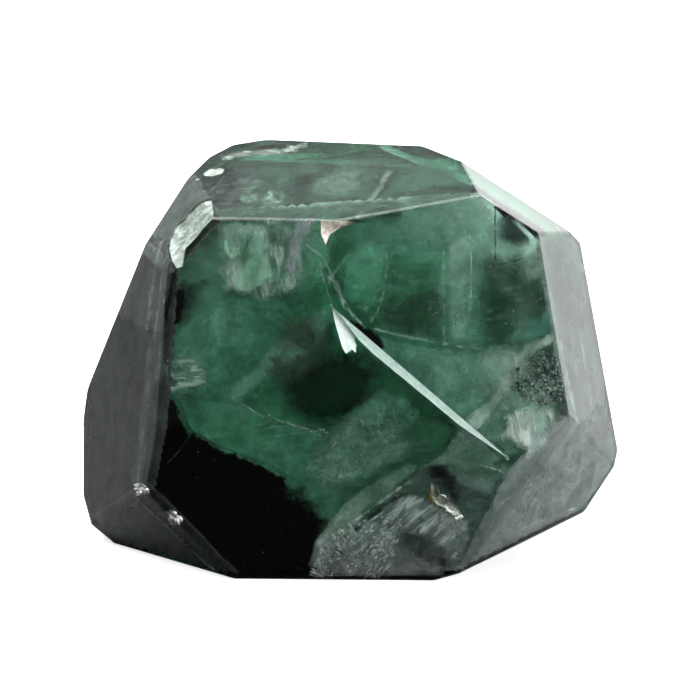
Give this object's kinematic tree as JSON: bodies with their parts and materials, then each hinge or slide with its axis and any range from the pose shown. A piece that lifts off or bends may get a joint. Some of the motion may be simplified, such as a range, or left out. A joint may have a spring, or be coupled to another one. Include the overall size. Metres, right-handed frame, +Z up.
{
  "type": "polished faceted fluorite stone",
  "caption": "Free-form block of dark green, see-through fluorite with flat polished facets, crisp ridges, small chips and a ground base to rest on.",
  "frame": {"origin": "middle of the stone's bounding box, at the level of its ground base", "axes": "+Z up; +X to the right of the picture, along the stone's longest side; +Y away from the front facets, across its shortest side"},
  "size_m": [0.0768, 0.0508, 0.0549],
  "materials": {
    "green_fluorite": "polished facets with frosted chips; clear dark green with paler inner veils"
  },
  "bodies": {
    "root": {"stone": "green_fluorite"}
  },
  "joints": []
}
